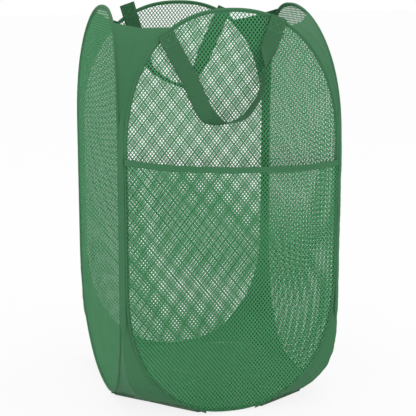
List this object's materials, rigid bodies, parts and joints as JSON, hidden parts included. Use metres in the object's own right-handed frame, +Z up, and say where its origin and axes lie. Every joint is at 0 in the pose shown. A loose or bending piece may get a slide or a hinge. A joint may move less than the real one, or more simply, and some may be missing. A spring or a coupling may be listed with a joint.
{
  "type": "pop up laundry hamper",
  "caption": "Square pop up laundry hamper: oval wire hoops filled with green net, fabric corners and floor, a net pocket on the front and webbing handles.",
  "frame": {"origin": "middle of the underside of the floor, on the ground", "axes": "+Z up, -Y towards the pocket side, +X towards the right side seen from the pocket side"},
  "size_m": [0.343, 0.3702, 0.61],
  "materials": {
    "nylon_fabric": "satin",
    "open_net": "satin",
    "webbing": "matte",
    "thread": "satin",
    "spring_steel": "satin"
  },
  "bodies": {
    "front": {"front_hoop_wire": "spring_steel", "front_wire_ferrule": "spring_steel", "front_hoop_sleeve": "nylon_fabric", "front_net": "open_net", "front_left_corner_seam": "nylon_fabric", "front_left_top_gusset": "nylon_fabric", "front_left_foot_gusset": "nylon_fabric", "front_right_corner_seam": "nylon_fabric", "front_right_top_gusset": "nylon_fabric", "front_right_foot_gusset": "nylon_fabric", "floor_panel": "nylon_fabric", "pocket_net": "open_net", "pocket_mouth_binding": "nylon_fabric", "front_handle_left_tab": "webbing", "front_handle_left_stitching": "thread", "front_handle_right_tab": "webbing", "front_handle_right_stitching": "thread"},
    "right": {"right_hoop_wire": "spring_steel", "right_wire_ferrule": "spring_steel", "right_hoop_sleeve": "nylon_fabric", "right_net": "open_net", "back_right_corner_seam": "nylon_fabric", "back_right_top_gusset": "nylon_fabric", "back_right_foot_gusset": "nylon_fabric"},
    "back": {"back_hoop_wire": "spring_steel", "back_wire_ferrule": "spring_steel", "back_hoop_sleeve": "nylon_fabric", "back_net": "open_net", "back_handle_left_tab": "webbing", "back_handle_left_stitching": "thread", "back_handle_right_tab": "webbing", "back_handle_right_stitching": "thread"},
    "left": {"left_hoop_wire": "spring_steel", "left_wire_ferrule": "spring_steel", "left_hoop_sleeve": "nylon_fabric", "left_net": "open_net", "back_left_corner_seam": "nylon_fabric", "back_left_top_gusset": "nylon_fabric", "back_left_foot_gusset": "nylon_fabric"},
    "front_handle": {"front_handle_strap": "webbing"},
    "back_handle": {"back_handle_strap": "webbing"}
  },
  "joints": [
    {"name": "right_fold", "type": "hinge", "parent": "front", "child": "right", "pos_m": [0.1657, -0.1657, 0.3], "axis": [0, 0, -1], "range_deg": [0, 50], "deforming": ["front_right_top_gusset", "front_right_foot_gusset"]},
    {"name": "left_fold", "type": "hinge", "parent": "front", "child": "left", "pos_m": [-0.1657, -0.1657, 0.3], "axis": [0, 0, -1], "range_deg": [0, 50], "deforming": ["front_left_top_gusset", "front_left_foot_gusset", "back_left_top_gusset", "back_left_foot_gusset"]},
    {"name": "back_fold", "type": "hinge", "parent": "right", "child": "back", "pos_m": [0.1657, 0.1657, 0.3], "axis": [0, 0, -1], "range_deg": [-50, 0], "deforming": ["back_right_top_gusset", "back_right_foot_gusset"]},
    {"name": "front_handle_swing", "type": "hinge", "parent": "front", "child": "front_handle", "pos_m": [0, -0.16623, 0.552], "axis": [-1, 0, 0], "range_deg": [0, 150]},
    {"name": "back_handle_swing", "type": "hinge", "parent": "back", "child": "back_handle", "pos_m": [0, 0.15472, 0.552], "axis": [-1, 0, 0], "range_deg": [0, 135]}
  ],
  "couplings": [
    {"joint": "left_fold", "follows": "right_fold", "ratio": 1},
    {"joint": "back_fold", "follows": "right_fold", "ratio": -1}
  ]
}
